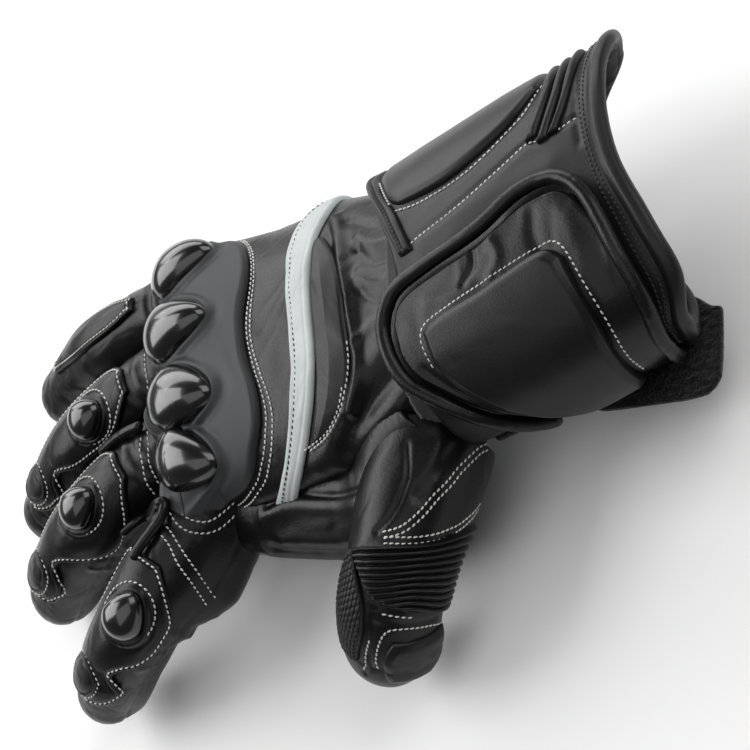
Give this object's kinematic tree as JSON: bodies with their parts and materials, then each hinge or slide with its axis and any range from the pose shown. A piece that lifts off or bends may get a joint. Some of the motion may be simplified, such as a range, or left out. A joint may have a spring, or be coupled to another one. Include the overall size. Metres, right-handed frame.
{
  "type": "leather motorcycle glove",
  "caption": "Right-hand gauntlet sport glove in black leather with a knuckle guard, hard caps, finger shields and a flap that closes the cuff.",
  "frame": {"origin": "centre of the cuff's mouth, where the hand goes in", "axes": "+X out of the mouth along the forearm, +Y to the little finger's side, +Z out of the back of the hand"},
  "size_m": [0.309, 0.1893, 0.0781],
  "materials": {
    "leather": "fine grained black leather, soft sheen",
    "stretch": "ribbed black stretch panel",
    "moulded": "satin dark grey moulding",
    "gloss": "polished black",
    "reflective": "pale grey reflective band",
    "padded": "black leather over foam",
    "hook": "black hook-and-loop tape"
  },
  "bodies": {
    "root": {"hand_body": "leather", "knuckle_guard": "moulded", "knuckle_dome_1": "gloss", "knuckle_dome_2": "gloss", "knuckle_dome_3": "gloss", "knuckle_dome_4": "gloss", "index_stall": "leather", "middle_stall": "leather", "ring_stall": "leather", "little_stall": "leather", "thumb_stall": "leather", "index_shield": "leather", "middle_shield": "leather", "ring_shield": "leather", "little_shield": "leather", "index_dome": "gloss", "middle_dome": "gloss", "ring_dome": "gloss", "index_tip_patch": "padded", "middle_tip_patch": "padded", "ring_tip_patch": "padded", "finger_tie_1": "leather", "finger_tie_2": "leather", "reflective_piping": "reflective", "wrist_pad": "padded", "cuff_binding": "leather", "cuff": "leather", "cuff_panel": "padded", "wrist_band": "leather", "stretch_rib_1": "stretch", "stretch_rib_2": "stretch", "stretch_rib_3": "stretch", "cuff_flap": "leather", "flap_edge": "leather", "flap_pad": "padded", "wrist_strap": "leather", "closure_strap": "hook", "thumb_rib_panel": "stretch", "thumb_tip_patch": "padded", "thumb_grip_panel": "stretch", "palm_patch": "leather"}
  },
  "joints": []
}
